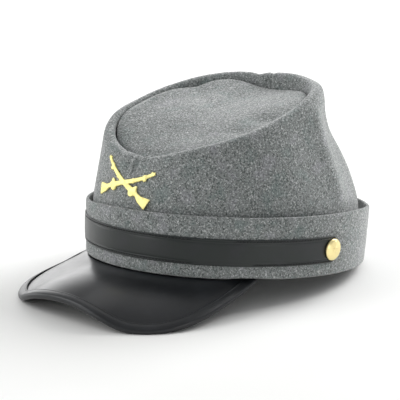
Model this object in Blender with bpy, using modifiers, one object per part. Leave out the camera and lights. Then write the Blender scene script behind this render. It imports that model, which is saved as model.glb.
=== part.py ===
"""A soft wool kepi with a leather visor, at its real size.

Each piece is drawn in the hat's own axes, in metres: the front is -Y, the wearer's left is +X,
up is +Z, and z = 0 is the foot of the band. The whole hat then hangs from one empty, which pitches
it back until it stands on the corners of its visor and on the back of its band.
Angles run round the head from the front (0) over the wearer's left (90 degrees) to the back (180).
"""

import math

import bmesh
import bpy
from mathutils import Matrix, Vector

# Band: a folded strip of wool round the head
HEAD_WIDTH = 0.1876
HEAD_LENGTH = 0.2080
BAND_HEIGHT = 0.0424
BAND_WALL = 0.0030
BAND_FLARE = 0.0020
BAND_ROUND = 0.0011
BAND_LIFT = 0.0010
CLEARANCE = 0.0003
PRESSED_IN = 0.0005

# Crown: rises from the band, higher at the back, and rolls in over its crest
CROWN_WALL = 0.0022
CROWN_TUCK = 0.0380
CROWN_STEP_FRONT = 0.0004
CROWN_STEP_BACK = 0.0032
CROWN_RISE_FRONT = 0.0348
CROWN_RISE_SIDE = 0.0658
CROWN_RISE_BACK = 0.0871
TOP_WIDTH = 0.1344
TOP_LENGTH = 0.1358
TOP_FORWARD = 0.0202
TOP_FULLNESS = 2.35
CREST_WAVE = 0.0040
ROLL_HOLLOW = 0.0056
ROLL_RISE = 0.0036
RIM_LIP = 0.0040

# Disc: the sunk top of the crown
DISC_WALL = 0.0022
DISC_SINK = 0.0115
DISC_DOME = 0.0070
DISC_SHOULDER = 0.0016

# Chin strap and its buttons
STRAP_WIDTH = 0.0185
STRAP_FOOT = 0.0091
STRAP_WALL = 0.0010
STRAP_PRESS = 0.0008
STRAP_ROUND = 0.0003
STRAP_PAST_BUTTON = 0.0035
BUTTON_ANGLE = math.radians(93.2)
BUTTON_WIDTH = 0.0150
BUTTON_DOME = 0.0020
BUTTON_RIM = 0.0008
SHANK_WIDTH = 0.0028

# Visor and the binding rolled over its edge
VISOR_REACH = 0.0554
VISOR_WIDTH = 0.1614
VISOR_DROP = 0.0313
VISOR_ANGLE = math.radians(60.0)
VISOR_WALL = 0.0016
VISOR_BULGE = 0.050
VISOR_RIGHT_DROOP = 0.75
VISOR_SEWN_IN = 0.0095
VISOR_SKIVE = 0.50
VISOR_SKIVED_FROM = 0.80
BINDING_WALL = 0.0010
BINDING_LAP = 0.0075
BINDING_BENDS_FROM = 0.65
BINDING_OUTSIDE_ROOT = 0.70
BINDING_ROOM = 1.20
LIFT_SPREAD = 1.10

# Badge: two crossed rifles on the front seam
RIFLE_LENGTH = 0.0510
RIFLE_DEPTH = 0.0040
RIFLE_RELIEF = 0.0012
RIFLE_SPREAD = math.radians(21.2)
RIFLE_EDGE = 0.14
RIFLE_SIDE = 0.72
RIFLE_OVERLAY = 0.00015
BADGE_TURN = math.radians(-6.0)
BADGE_SHARE_UP = 0.517
BADGE_ASIDE = -0.0050
POST_WIDTH = 0.0016
POST_ALONG = 0.20
POST_HEAD = 0.40

SEGMENTS = 54
SHORT_TURN = math.radians(1.0)
VISOR_STATIONS = 44
STATIONS_CLOSER_AT_ENDS = 0.40

# How far the crown's wall has leant in towards its crest, at shares of its height
CROWN_LEAN = (
    # height, front, side, back
    (0.00, 0.00, 0.00, 0.00),
    (0.20, 0.18, 0.18, 0.17),
    (0.40, 0.38, 0.38, 0.43),
    (0.54, 0.53, 0.53, 0.69),
    (0.65, 0.65, 0.65, 0.93),
    (0.76, 0.77, 0.77, 1.00),
    (1.00, 1.00, 1.00, 1.00),
)

# Height of the band's folded top, as shares of BAND_HEIGHT, at degrees round the head
BAND_LEVEL = (
    # degrees, share
    (0, 0.97),
    (40, 1.00),
    (112, 1.00),
    (140, 0.92),
    (200, 0.90),
    (300, 0.88),
    (328, 0.89),
    (345, 0.94),
)

# The soft crest's rise and fall, as shares of CREST_WAVE, at degrees round the head
CREST_LEVEL = (
    # degrees, share
    (0, -0.25),
    (12, 0.10),
    (26, 0.70),
    (40, 0.92),
    (56, 0.72),
    (75, 0.34),
    (92, 0.14),
    (112, 0.35),
    (132, 0.00),
    (152, -0.35),
    (173, -0.20),
    (184, -0.45),
    (193, -1.08),
    (204, -0.80),
    (228, -0.82),
    (252, -0.70),
    (272, -0.25),
    (292, 0.36),
    (310, 0.45),
    (335, 0.00),
)

# Depth of the disc's edge below the crest, as shares of DISC_SINK, at degrees round the head
DISC_SEAT = (
    # degrees, share
    (0, 0.36),
    (45, 0.40),
    (90, 0.50),
    (130, 0.55),
    (150, 0.58),
    (164, 0.80),
    (182, 1.00),
    (193, 0.64),
    (204, 0.52),
    (218, 0.43),
    (228, 0.48),
    (240, 0.66),
    (250, 0.37),
    (264, 0.15),
    (300, 0.16),
    (330, 0.28),
)

# How wide the rolled rim is inside its crest, as shares of its outer half, at degrees round the head
RIM_INSIDE = (
    # degrees, share
    (0, 1.00),
    (60, 1.00),
    (180, 1.00),
    (235, 1.00),
    (250, 0.80),
    (266, 0.62),
    (284, 0.55),
    (306, 0.55),
    (318, 0.75),
    (332, 1.00),
)

# Outline of the visor's edge, from its middle to where it goes under the band
VISOR_EDGE = (
    # width, reach, drop
    (0.000, 1.000, 0.550),
    (0.352, 1.000, 0.550),
    (0.617, 0.845, 1.152),
    (1.094, 0.252, 0.843),
    (0.976, -0.595, 0.430),
)

# One rifle seen from its side, from muzzle to butt
RIFLE_FORM = (
    # along, below, above, relief
    (0.000, 0.22, 0.26, 0.62),
    (0.030, 0.24, 0.28, 0.66),
    (0.034, 0.24, 0.46, 0.66),
    (0.052, 0.24, 0.46, 0.66),
    (0.056, 0.24, 0.27, 0.66),
    (0.140, 0.30, 0.27, 0.70),
    (0.150, 0.66, 0.38, 0.90),
    (0.185, 0.66, 0.38, 0.90),
    (0.195, 0.36, 0.28, 0.72),
    (0.330, 0.38, 0.29, 0.74),
    (0.338, 0.46, 0.36, 0.90),
    (0.366, 0.46, 0.36, 0.90),
    (0.374, 0.39, 0.30, 0.76),
    (0.560, 0.42, 0.33, 0.80),
    (0.640, 0.48, 0.36, 0.90),
    (0.665, 0.92, 0.38, 1.00),
    (0.700, 0.98, 0.92, 1.00),
    (0.722, 0.86, 0.98, 1.00),
    (0.745, 0.50, 0.46, 1.00),
    (0.785, 0.38, 0.26, 0.86),
    (0.860, 0.78, 0.24, 0.90),
    (0.985, 1.00, 0.70, 0.82),
    (1.000, 0.98, 0.72, 0.78),
)


def mix(start, end, share):
    """The value a share of the way from start to end."""
    return start + (end - start) * share


def catmull(before, start, end, after, share):
    """A smooth value between start and end, guided by the values beyond them."""
    return 0.5 * (
        2.0 * start
        + (end - before) * share
        + (2.0 * before - 5.0 * start + 4.0 * end - after) * share ** 2
        + (3.0 * start - before - 3.0 * end + after) * share ** 3
    )


def along_table(rows, column, place):
    """Read a column smoothly at a place along the first column of a table."""
    last = len(rows) - 1
    index = 0
    while index < last - 1 and place > rows[index + 1][0]:
        index += 1
    share = (place - rows[index][0]) / (rows[index + 1][0] - rows[index][0])
    around = [rows[min(max(index + step, 0), last)][column] for step in (-1, 0, 1, 2)]
    return catmull(*around, share)


def round_table(rows, column, angle):
    """Read a column smoothly at an angle, in a table that goes once round the head."""
    degrees = math.degrees(angle) % 360.0
    count = len(rows)
    index = max(step for step in range(count) if rows[step][0] <= degrees)
    start = rows[index][0]
    end = rows[(index + 1) % count][0] + (360.0 if index == count - 1 else 0.0)
    share = (degrees - start) / (end - start)
    around = [rows[(index + step) % count][column] for step in (-1, 0, 1, 2)]
    return catmull(*around, share)


def oval(angle, half_width, half_length, fullness=2.0):
    """A point on an oval in the plane; more fullness makes it squarer."""
    side, ahead = math.sin(angle), -math.cos(angle)
    power = 2.0 / fullness
    return Vector((
        half_width * math.copysign(abs(side) ** power, side),
        half_length * math.copysign(abs(ahead) ** power, ahead),
        0.0,
    ))


def plan_normal(curve, angle):
    """The outward direction of a plan curve at an angle."""
    tangent = curve(angle + SHORT_TURN) - curve(angle - SHORT_TURN)
    return Vector((tangent.y, -tangent.x, 0.0)).normalized()


def band_point(angle, height, proud=0.0):
    """A point on the band's outer face, or proud of it by a distance."""
    grown = BAND_FLARE * height / BAND_HEIGHT + proud
    point = oval(angle, HEAD_WIDTH / 2 + grown, HEAD_LENGTH / 2 + grown)
    point.z = height
    return point


def band_top(angle):
    """The height of the band's folded top."""
    return BAND_HEIGHT * round_table(BAND_LEVEL, 1, angle)


def crown_foot(angle, height):
    """A point on the crown's wall where the band hides it."""
    backward = (1.0 - math.cos(angle)) / 2
    step = STRAP_PRESS + mix(CROWN_STEP_FRONT, CROWN_STEP_BACK, backward)
    return band_point(angle, height, -BAND_WALL - CLEARANCE - step)


def crest_plan(angle):
    """The crest's plan, without its height."""
    point = oval(angle, TOP_WIDTH / 2, TOP_LENGTH / 2, TOP_FULLNESS)
    point.y -= TOP_FORWARD
    return point


def crest(angle):
    """The crest of the crown: the highest line of its rolled rim."""
    point = crest_plan(angle)
    backward = (point.y + TOP_FORWARD + TOP_LENGTH / 2) / TOP_LENGTH
    sideways = (2.0 * point.x / TOP_WIDTH) ** 2
    level = mix(CROWN_RISE_FRONT, CROWN_RISE_BACK, backward)
    middle = (CROWN_RISE_FRONT + CROWN_RISE_BACK) / 2
    point.z = BAND_HEIGHT + level + (CROWN_RISE_SIDE - middle) * sideways
    point.z += CREST_WAVE * round_table(CREST_LEVEL, 1, angle)
    return point


def rim_point(angle, turn, drop=0.0):
    """A point on the rolled rim: turn 0 is its outer foot, 180 degrees its inner foot."""
    half = CROWN_WALL + ROLL_HOLLOW / 2
    if math.cos(turn) < 0.0:
        half *= round_table(RIM_INSIDE, 1, angle)
    point = crest(angle) + plan_normal(crest_plan, angle) * half * math.cos(turn)
    point.z += ROLL_RISE * (math.sin(turn) - 1.0) - drop
    return point


def crown_point(angle, share, proud=0.0):
    """A point on the crown's wall, at a share of the way from the band to the rolled rim."""
    foot = crown_foot(angle, band_top(angle))
    head = rim_point(angle, 0.0)
    ahead, aside = math.cos(angle), math.sin(angle)
    lean = (
        max(ahead, 0.0) ** 2 * along_table(CROWN_LEAN, 1, share)
        + aside ** 2 * along_table(CROWN_LEAN, 2, share)
        + max(-ahead, 0.0) ** 2 * along_table(CROWN_LEAN, 3, share)
    )
    point = foot.lerp(head, lean)
    point.z = mix(foot.z, head.z, share)
    if proud:
        point += crown_normal(angle, share) * proud
    return point


def crown_normal(angle, share):
    """The outward direction of the crown's wall."""
    rise = 0.01
    sideways = crown_point(angle + SHORT_TURN, share) - crown_point(angle - SHORT_TURN, share)
    upward = crown_point(angle, share + rise) - crown_point(angle, share - rise)
    return sideways.cross(upward).normalized()


def seat_depth(angle):
    """How far the disc's edge lies below the crest."""
    return DISC_SINK * round_table(DISC_SEAT, 1, angle)


def round_angles():
    """Angles of the stations round the head."""
    return [math.tau * step / SEGMENTS for step in range(SEGMENTS)]


def grid_mesh(name, rows, closed):
    """A surface through rows of points, its face up where rows run up or in from an edge."""
    shape = bmesh.new()
    lines = [[shape.verts.new(point) for point in row] for row in rows]
    for lower, upper in zip(lines, lines[1:]):
        count = len(lower)
        for step in range(count if closed else count - 1):
            following = (step + 1) % count
            corners = [lower[step], lower[following]]
            if len(upper) == 1:
                corners.append(upper[0])
            else:
                corners += [upper[following], upper[step]]
            shape.faces.new(corners)
    mesh = bpy.data.meshes.new(name)
    shape.to_mesh(mesh)
    shape.free()
    return mesh


def new_object(name, mesh, collection):
    """An object for a mesh, in a collection."""
    piece = bpy.data.objects.new(name, mesh)
    collection.objects.link(piece)
    return piece


def thicken(piece, wall, shares=()):
    """Give an open surface its wall, on the inner side; shares thin it point by point."""
    solid = piece.modifiers.new("wall", "SOLIDIFY")
    solid.thickness = wall
    solid.offset = -1.0
    solid.use_quality_normals = True
    if shares:
        group = piece.vertex_groups.new(name="skived")
        for index, share in enumerate(shares):
            group.add([index], share, "REPLACE")
        solid.vertex_group = group.name


def soften(piece, width, segments=2):
    """Round a piece's sharp edges."""
    bevel = piece.modifiers.new("soft edges", "BEVEL")
    bevel.width = width
    bevel.segments = segments
    bevel.limit_method = "ANGLE"
    bevel.angle_limit = math.radians(50.0)


def cut(piece, cutter):
    """Take a cutter's shape out of a piece."""
    hole = piece.modifiers.new("hole", "BOOLEAN")
    hole.operation = "DIFFERENCE"
    hole.object = cutter


def settle(piece):
    """Turn a piece's modifiers into plain mesh."""
    bpy.context.view_layer.update()
    evaluated = piece.evaluated_get(bpy.context.evaluated_depsgraph_get())
    mesh = bpy.data.meshes.new_from_object(evaluated)
    piece.modifiers.clear()
    piece.data = mesh
    return piece


def peg(name, start, end, width, collection, sides=16):
    """A plain round peg between two points."""
    axis = end - start
    bpy.ops.mesh.primitive_cylinder_add(vertices=sides, radius=width / 2, depth=axis.length)
    piece = bpy.context.object
    piece.name = name
    turn = axis.to_track_quat("Z", "Y").to_matrix().to_4x4()
    piece.data.transform(Matrix.Translation((start + end) / 2) @ turn)
    for owner in list(piece.users_collection):
        owner.objects.unlink(piece)
    collection.objects.link(piece)
    return piece


def make_material(name, colour, roughness, metallic=0.0):
    """A plain finish."""
    material = bpy.data.materials.new(name)
    material.use_nodes = True
    shader = material.node_tree.nodes["Principled BSDF"]
    shader.inputs["Base Color"].default_value = (*colour, 1.0)
    shader.inputs["Roughness"].default_value = roughness
    shader.inputs["Metallic"].default_value = metallic
    return material


def from_front(angle):
    """The angle from the front, whichever side it is on."""
    return abs((angle + math.pi) % math.tau - math.pi)


def band_foot(angle):
    """The height of the band's foot, which rides over the ends of the bound visor."""
    reach = HEAD_LENGTH / 2
    middle = VISOR_ANGLE - BINDING_LAP / 2 / reach
    away = abs(from_front(angle) - middle) * reach
    return BAND_LIFT * min(max(2.0 - away / (LIFT_SPREAD * BINDING_LAP), 0.0), 1.0)


def under_strap(angle):
    """Whether the strap passes over the band at an angle: 1 or 0."""
    return 1.0 if from_front(angle) < strap_end() else 0.0


def make_band(collection):
    """The folded wool band: a flared wall, pressed in under the strap."""
    slope = 2.0 * STRAP_PRESS
    foot, head = STRAP_FOOT, STRAP_FOOT + STRAP_WIDTH
    rows = [[band_point(angle, band_foot(angle)) for angle in round_angles()]]
    for height, pressed in ((foot - slope, 0.0), (foot, 1.0), (head, 1.0), (head + slope, 0.0)):
        rows.append([band_point(angle, height, -STRAP_PRESS * pressed * under_strap(angle))
                     for angle in round_angles()])
    rows.append([band_point(angle, band_top(angle)) for angle in round_angles()])
    band = new_object("band", grid_mesh("band", rows, closed=True), collection)
    thicken(band, BAND_WALL)
    soften(band, BAND_ROUND)
    return settle(band)


def make_crown_side(collection):
    """The crown's wool wall, from inside the band up and over its rolled rim."""
    sewn = BAND_HEIGHT - CROWN_TUCK
    rows = [[band_point(angle, sewn, -BAND_WALL - CLEARANCE) for angle in round_angles()]]
    rows.append([crown_foot(angle, STRAP_FOOT - STRAP_PRESS) for angle in round_angles()])
    for share in (0.0, 0.2, 0.4, 0.54, 0.65, 0.76, 0.88):
        rows.append([crown_point(angle, share) for angle in round_angles()])
    for turn in (0, 50, 90, 130, 180):
        rows.append([rim_point(angle, math.radians(turn)) for angle in round_angles()])
    rows.append([rim_point(angle, math.pi, seat_depth(angle) + RIM_LIP - ROLL_RISE)
                 for angle in round_angles()])
    crown = new_object("crown_side", grid_mesh("crown_side", rows, closed=True), collection)
    thicken(crown, CROWN_WALL)
    return settle(crown)


def disc_point(angle, share):
    """A point on the disc's top, at a share of the way from its edge to its middle."""
    edge = rim_point(angle, math.pi, seat_depth(angle) - ROLL_RISE)
    edge -= plan_normal(crest_plan, angle) * CLEARANCE
    low, high = crest(0.0), crest(math.pi)
    middle = (low + high) / 2
    middle.z -= (seat_depth(0.0) + seat_depth(math.pi)) / 2
    slope = (high.z - seat_depth(math.pi) - low.z + seat_depth(0.0)) / (high.y - low.y)
    fold = edge.z - middle.z - slope * (edge.y - middle.y)
    point = edge.lerp(middle, share)
    outward = (1.0 - share) ** 2
    point.z = middle.z + slope * (point.y - middle.y) + fold * outward
    point.z += DISC_DOME * (1.0 - outward)
    return point


def make_crown_top(collection):
    """The disc that closes the crown inside its rolled rim."""
    rows = []
    for share in (0.0, 0.03, 0.10, 0.25, 0.50, 0.75):
        row = []
        for angle in round_angles():
            point = disc_point(angle, share)
            if share == 0.0:
                point.z -= DISC_SHOULDER
            row.append(point)
        rows.append(row)
    rows.append([disc_point(0.0, 1.0)])
    disc = new_object("crown_top", grid_mesh("crown_top", rows, closed=True), collection)
    thicken(disc, DISC_WALL)
    return settle(disc)


def strap_end():
    """The angle at which the strap ends, just past the button."""
    return BUTTON_ANGLE + STRAP_PAST_BUTTON / (HEAD_LENGTH / 2)


def make_chin_strap(collection):
    """The leather strap that lies over the front of the band."""
    end = strap_end()
    inner = [angle for angle in round_angles() if angle < end - SHORT_TURN]
    half = inner + [end]
    angles = [-angle for angle in reversed(half[1:])] + half
    rows = []
    for level in (0.0, 0.5, 1.0):
        height = STRAP_FOOT + STRAP_WIDTH * level
        proud = CLEARANCE + STRAP_WALL - STRAP_PRESS
        rows.append([band_point(angle, height, proud) for angle in angles])
    strap = new_object("chin_strap", grid_mesh("chin_strap", rows, closed=False), collection)
    thicken(strap, STRAP_WALL)
    soften(strap, STRAP_ROUND)
    return settle(strap)


def button_place(side):
    """Where a button's back sits, and the way it faces."""
    angle = BUTTON_ANGLE * side
    height = STRAP_FOOT + STRAP_WIDTH / 2
    place = band_point(angle, height, STRAP_WALL + 2 * CLEARANCE - STRAP_PRESS)
    sideways = band_point(angle + SHORT_TURN, height) - band_point(angle - SHORT_TURN, height)
    upward = band_point(angle, BAND_HEIGHT) - band_point(angle, 0.0)
    return place, sideways.cross(upward).normalized()


def make_button(name, side, collection):
    """A domed brass button with its shank, turned about its own axis."""
    place, facing = button_place(side)
    half = BUTTON_WIDTH / 2
    shank = STRAP_WALL + CLEARANCE + BAND_WALL
    profile = [(0.0, BUTTON_RIM + BUTTON_DOME)]
    for turn in (18, 36, 54, 72):
        bend = math.radians(turn)
        profile.append((half * math.sin(bend), BUTTON_RIM + BUTTON_DOME * math.cos(bend)))
    profile += [(half, BUTTON_RIM), (half, 0.0), (SHANK_WIDTH / 2, 0.0), (SHANK_WIDTH / 2, -shank)]
    profile.append((0.0, -shank))
    shape = bmesh.new()
    corners = [shape.verts.new((radius, 0.0, height)) for radius, height in profile]
    for start, end in zip(corners, corners[1:]):
        shape.edges.new((start, end))
    mesh = bpy.data.meshes.new(name)
    shape.to_mesh(mesh)
    shape.free()
    button = new_object(name, mesh, collection)
    turned = button.modifiers.new("turned", "SCREW")
    turned.steps = 20
    turned.render_steps = 20
    turned.use_merge_vertices = True
    turned.merge_threshold = 0.00001
    settle(button)
    button.data.transform(Matrix.Translation(place) @ facing.to_track_quat("Z", "Y").to_matrix().to_4x4())
    return button


def cut_for_button(side, pieces, cutters):
    """Pierce the strap and the band where a button's shank goes through."""
    place, facing = button_place(side)
    depth = STRAP_WALL + BAND_WALL + 4 * CLEARANCE
    name = "shank_hole_left" if side > 0 else "shank_hole_right"
    cutter = peg(name, place - facing * depth, place + facing * CLEARANCE,
                 SHANK_WIDTH + 2 * CLEARANCE, cutters)
    hide_guide(cutter)
    for piece in pieces:
        cut(piece, cutter)
        settle(piece)


def hide_guide(guide):
    """Leave a cutter out of the finished hat."""
    guide.hide_render = True
    guide.display_type = "WIRE"


def spline_point(controls, place):
    """A point on a smooth curve that starts and ends at its outer controls."""
    spans = len(controls) - 3
    knots = [0.0] * 3 + [step / spans for step in range(spans + 1)] + [1.0] * 3
    span = min(int(place * spans), spans - 1) + 3
    points = [controls[span - 3 + step].copy() for step in range(4)]
    for level in range(1, 4):
        for step in range(3, level - 1, -1):
            first = knots[span - 3 + step]
            width = knots[span + 1 + step - level] - first
            share = (place - first) / width
            points[step] = points[step - 1].lerp(points[step], share)
    return points[3]


def visor_controls():
    """The control points of the visor's edge, on the wearer's left."""
    front = HEAD_LENGTH / 2
    controls = []
    for width, reach, drop in VISOR_EDGE:
        controls.append(Vector((
            VISOR_WIDTH / 2 * width,
            -front - VISOR_REACH * reach,
            -VISOR_DROP * drop,
        )))
    end = band_point(VISOR_ANGLE, 0.0, -BAND_WALL / 2)
    end.z = visor_end_level()
    controls.append(end)
    return controls


def visor_edge():
    """Points along the visor's edge, from the wearer's right to the left."""
    controls = visor_controls()
    half = VISOR_STATIONS // 2
    left = []
    for step in range(half + 1):
        share = step / half
        left.append(spline_point(controls, share * (1.0 + STATIONS_CLOSER_AT_ENDS * (1.0 - share))))
    right = []
    for point in left[:0:-1]:
        droop = min(point.z - left[0].z, 0.0)
        right.append(Vector((-point.x, point.y, point.z - droop * (1.0 - VISOR_RIGHT_DROOP))))
    return right + left


def visor_stations():
    """Edge, root, edge direction and skived share at stations from the right to the left."""
    edge = visor_edge()
    middle = len(edge) // 2
    run = [0.0]
    for start, end in zip(edge, edge[1:]):
        run.append(run[-1] + (end - start).length)
    last = VISOR_ANGLE - BINDING_OUTSIDE_ROOT * BINDING_LAP / (HEAD_LENGTH / 2)
    stations = []
    for index, point in enumerate(edge):
        away = run[index] - run[middle]
        whole = run[middle] if away < 0.0 else run[-1] - run[middle]
        near_end = max((abs(away) / whole - VISOR_SKIVED_FROM) / (1.0 - VISOR_SKIVED_FROM), 0.0)
        near_end *= near_end * (3.0 - 2.0 * near_end)
        root = band_point(last * away / whole, 0.0, -mix(BAND_WALL, VISOR_SEWN_IN, near_end))
        root.z = mix(-CLEARANCE - VISOR_WALL / 2, visor_end_level() + VISOR_WALL / 2, near_end)
        ahead = edge[min(index + 1, len(edge) - 1)] - edge[max(index - 1, 0)]
        stations.append((point, root, ahead.normalized(), mix(1.0, VISOR_SKIVE, near_end)))
    return stations


def visor_end_level():
    """The height of the visor's middle layer where its bound ends go under the lifted band."""
    return BAND_LIFT - CLEARANCE - BINDING_ROOM * binding_half(VISOR_SKIVE)


def binding_half(skive):
    """Half the thickness of the bound edge, with its leather skived to a share."""
    return (VISOR_WALL / 2 + BINDING_WALL) * skive + CLEARANCE


def visor_slant(station):
    """How squarely the visor's rows meet its edge."""
    edge, root, ahead, skive = station
    return max((root - edge).normalized().cross(ahead).length, 0.5)


def visor_point(station, inward, raised):
    """A point a square distance in from the visor's edge and a distance above its middle."""
    edge, root, ahead, skive = station
    chord = root - edge
    inner = chord.normalized()
    normal = inner.cross(ahead).normalized()
    if normal.z < 0:
        normal.negate()
    along = inward / visor_slant(station)
    share = min(along / chord.length, 1.0)
    crown = VISOR_BULGE * max(chord.length - 2 * BINDING_LAP, 0.0)
    return edge + inner * along + normal * (raised + crown * 4.0 * share * (1.0 - share))


def make_visor(collection):
    """The leather peak, its edge held in the binding."""
    inset = binding_half(1.0) + CLEARANCE
    stations = visor_stations()
    rows = []
    for share in (0.0, 0.15, 0.5, 1.0):
        row = []
        for station in stations:
            edge, root, ahead, skive = station
            length = (root - edge).length * visor_slant(station)
            row.append(visor_point(station, mix(inset, length, share), VISOR_WALL / 2 * skive))
        rows.append(row)
    visor = new_object("visor", grid_mesh("visor", rows, closed=False), collection)
    thicken(visor, VISOR_WALL, [station[3] for row in rows for station in stations])
    return settle(visor)


def binding_profile(skive):
    """The rolled strip's outline, as distances in from the edge and above its middle."""
    half = binding_half(skive)
    profile = [(BINDING_LAP, -half), (BINDING_BENDS_FROM * BINDING_LAP, -half)]
    for turn in (180, 135, 90, 45, 0):
        bend = math.radians(turn)
        profile.append((half * (1.0 - math.sin(bend)), half * math.cos(bend)))
    return profile + [(BINDING_BENDS_FROM * BINDING_LAP, half), (BINDING_LAP, half)]


def make_binding(collection):
    """The leather strip rolled over the visor's edge."""
    stations = visor_stations()
    rings = [[visor_point(station, inward, raised)
              for inward, raised in binding_profile(station[3])] for station in stations]
    rows = [list(row) for row in zip(*rings)]
    binding = new_object("visor_binding", grid_mesh("visor_binding", rows, closed=False), collection)
    thicken(binding, BINDING_WALL, [station[3] for row in rows for station in stations])
    return settle(binding)


def on_badge(aside, up, raised):
    """Bend a point of the flat badge onto the crown's front wall."""
    height = crown_point(0.0, 1.0).z - BAND_HEIGHT
    share = BADGE_SHARE_UP + up / height
    round_front = (HEAD_WIDTH / 2) ** 2 / (HEAD_LENGTH / 2)
    angle = math.asin((BADGE_ASIDE + aside) / round_front)
    return crown_point(angle, share, CLEARANCE + raised)


def rifle_rows(side):
    """Sections of one rifle, laid flat, from muzzle to butt."""
    turn = Matrix.Rotation(BADGE_TURN - side * RIFLE_SPREAD, 3, "Z")
    rows = []
    for along, below, above, relief in RIFLE_FORM:
        place = RIFLE_LENGTH * (along - 0.5)
        low, high = -RIFLE_DEPTH * below, RIFLE_DEPTH * above
        top = RIFLE_RELIEF * relief
        side_top = RIFLE_SIDE * top
        section = [(low, 0.0), (low, side_top), (mix(low, high, RIFLE_EDGE), top),
                   (mix(high, low, RIFLE_EDGE), top), (high, side_top), (high, 0.0)]
        row = []
        for across, raised in section:
            row.append(turn @ Vector((side * place, across, raised)))
        rows.append(row)
    return rows


def make_rifle(name, side, collection):
    """One rifle as a closed body, laid flat."""
    shape = bmesh.new()
    lines = [[shape.verts.new(point) for point in row] for row in rifle_rows(side)]
    for first, second in zip(lines, lines[1:]):
        for step in range(len(first)):
            following = (step + 1) % len(first)
            shape.faces.new((first[step], second[step], second[following], first[following]))
    shape.faces.new(lines[0])
    shape.faces.new(list(reversed(lines[-1])))
    bmesh.ops.recalc_face_normals(shape, faces=shape.faces)
    mesh = bpy.data.meshes.new(name)
    shape.to_mesh(mesh)
    shape.free()
    return new_object(name, mesh, collection)


def badge_posts():
    """Where the badge's hidden posts stand, on the flat badge."""
    posts = []
    for side in (-1.0, 1.0):
        turn = Matrix.Rotation(BADGE_TURN + side * RIFLE_SPREAD, 3, "Z")
        posts.append(turn @ Vector((side * RIFLE_LENGTH * POST_ALONG, 0.0, 0.0)))
    return posts


def make_badge(collection, cutters, crown):
    """The crossed rifles, joined, bent to the crown's front and posted through its wool."""
    badge = make_rifle("crossed_rifles_badge", 1.0, collection)
    other = make_rifle("other_rifle", -1.0, cutters)
    other.data.transform(Matrix.Translation((0.0, 0.0, RIFLE_OVERLAY)))
    join = badge.modifiers.new("crossing", "BOOLEAN")
    join.operation = "UNION"
    join.object = other
    settle(badge)
    bpy.data.objects.remove(other)
    depth = CLEARANCE + CROWN_WALL
    for index, post in enumerate(badge_posts()):
        foot = post + Vector((0.0, 0.0, -depth))
        head = post + Vector((0.0, 0.0, RIFLE_RELIEF * POST_HEAD))
        stem = peg("post", foot, head, POST_WIDTH, cutters, sides=8)
        join = badge.modifiers.new("post", "BOOLEAN")
        join.operation = "UNION"
        join.object = stem
        settle(badge)
        bpy.data.objects.remove(stem)
        foot = post + Vector((0.0, 0.0, -depth - 4 * CLEARANCE))
        head = post + Vector((0.0, 0.0, CLEARANCE))
        hole = peg(f"post_hole_{index}", foot, head, POST_WIDTH + 2 * CLEARANCE, cutters, sides=8)
        bend_to_crown(hole)
        hide_guide(hole)
        cut(crown, hole)
        settle(crown)
    bend_to_crown(badge)
    return badge


def bend_to_crown(piece):
    """Bend a flat piece of the badge onto the crown's wall."""
    for vertex in piece.data.vertices:
        vertex.co = on_badge(*vertex.co)


def resting_pose(pieces, binding):
    """The pose in which the hat stands on its visor's corners and the back of its band."""
    heel = band_point(math.pi, 0.0)
    corners = []
    for side in (1.0, -1.0):
        near = [vertex.co for vertex in binding.data.vertices if vertex.co.x * side > 0.0]
        corners.append(max(near, key=lambda point: math.atan2(-point.z, heel.y - point.y)))
    left, right = corners
    up = (left - heel).cross(heel - right).normalized()
    aside = (Vector((1.0, 0.0, 0.0)) - up * up.x).normalized()
    turn = Matrix((aside, up.cross(aside), up)).to_4x4()
    points = [turn @ vertex.co for piece in pieces for vertex in piece.data.vertices]
    low = Vector([min(point[axis] for point in points) for axis in range(3)])
    high = Vector([max(point[axis] for point in points) for axis in range(3)])
    centre = (low + high) / 2
    return Matrix.Translation((-centre.x, -centre.y, -low.z - PRESSED_IN)) @ turn


def press_flat(piece, pose):
    """Flatten the soft edge of a piece where it meets the surface that the hat stands on."""
    back = pose.inverted()
    for vertex in piece.data.vertices:
        place = pose @ vertex.co
        if place.z < 0.0:
            place.z = 0.0
            vertex.co = back @ place


def finish(piece, material, hat):
    """Give a piece its finish and hang it from the hat."""
    piece.data.materials.clear()
    piece.data.materials.append(material)
    piece.data.shade_smooth()
    piece.data.set_sharp_from_angle(angle=math.radians(40.0))
    piece.parent = hat


def main():
    for leftover in list(bpy.data.objects):
        bpy.data.objects.remove(leftover)
    collection = bpy.data.collections.new("kepi")
    cutters = bpy.data.collections.new("cutters")
    for group in (collection, cutters):
        bpy.context.scene.collection.children.link(group)

    wool = make_material("wool felt", (0.20, 0.21, 0.21), 0.95)
    leather = make_material("black leather", (0.012, 0.013, 0.014), 0.38)
    brass = make_material("brass", (0.80, 0.62, 0.25), 0.32, metallic=1.0)

    band = make_band(collection)
    crown = make_crown_side(collection)
    disc = make_crown_top(collection)
    strap = make_chin_strap(collection)
    visor = make_visor(collection)
    binding = make_binding(collection)
    buttons = []
    for name, side in (("side_button_left", 1.0), ("side_button_right", -1.0)):
        buttons.append(make_button(name, side, collection))
        cut_for_button(side, (strap, band), cutters)
    badge = make_badge(collection, cutters, crown)

    hat = bpy.data.objects.new("hat", None)
    collection.objects.link(hat)
    finishes = [(band, wool), (crown, wool), (disc, wool), (strap, leather), (visor, leather),
                (binding, leather), (badge, brass)]
    finishes += [(button, brass) for button in buttons]
    pieces = [piece for piece, material in finishes]
    pose = resting_pose(pieces, binding)
    for piece in (band, binding):
        press_flat(piece, pose)
    for piece, material in finishes:
        finish(piece, material, hat)
    hat.matrix_world = pose


main()
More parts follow.
